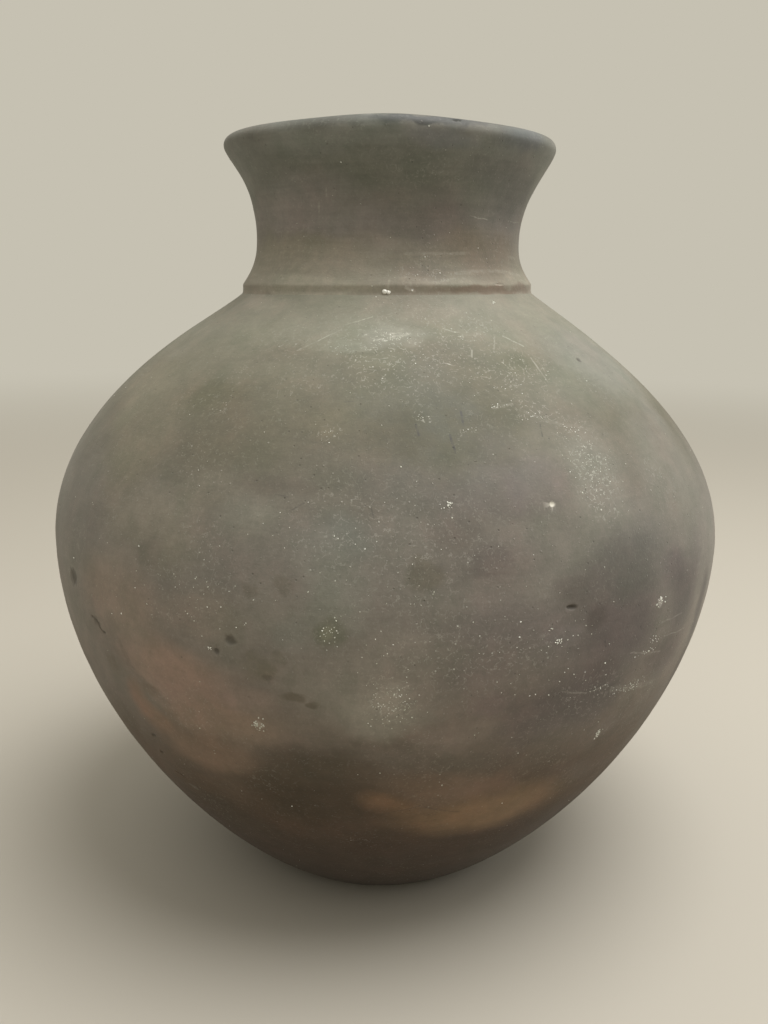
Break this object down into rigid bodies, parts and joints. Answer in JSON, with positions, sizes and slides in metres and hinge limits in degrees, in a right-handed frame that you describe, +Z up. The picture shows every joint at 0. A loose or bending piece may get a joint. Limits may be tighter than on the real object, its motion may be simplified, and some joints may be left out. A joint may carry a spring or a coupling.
{
  "type": "raku vase",
  "caption": "Round, smoke-fired raku vase on a flat foot, with a crisp ledge under a short flaring neck and a thick rounded lip.",
  "frame": {"origin": "middle of the flat foot, on the surface that the vase stands on", "axes": "+Z up along the wheel's axis, -Y towards the viewer of the picture, +X to the viewer's right"},
  "size_m": [0.28, 0.28, 0.3073],
  "materials": {
    "body_clay": "dry, smoke-fired and burnished clay, olive grey mottled with mauve brown, fine pale grit",
    "neck_clay": "dry, smoke-fired clay, darker olive grey with faint throwing lines"
  },
  "bodies": {
    "root": {"body": "body_clay", "neck": "neck_clay"}
  },
  "joints": []
}
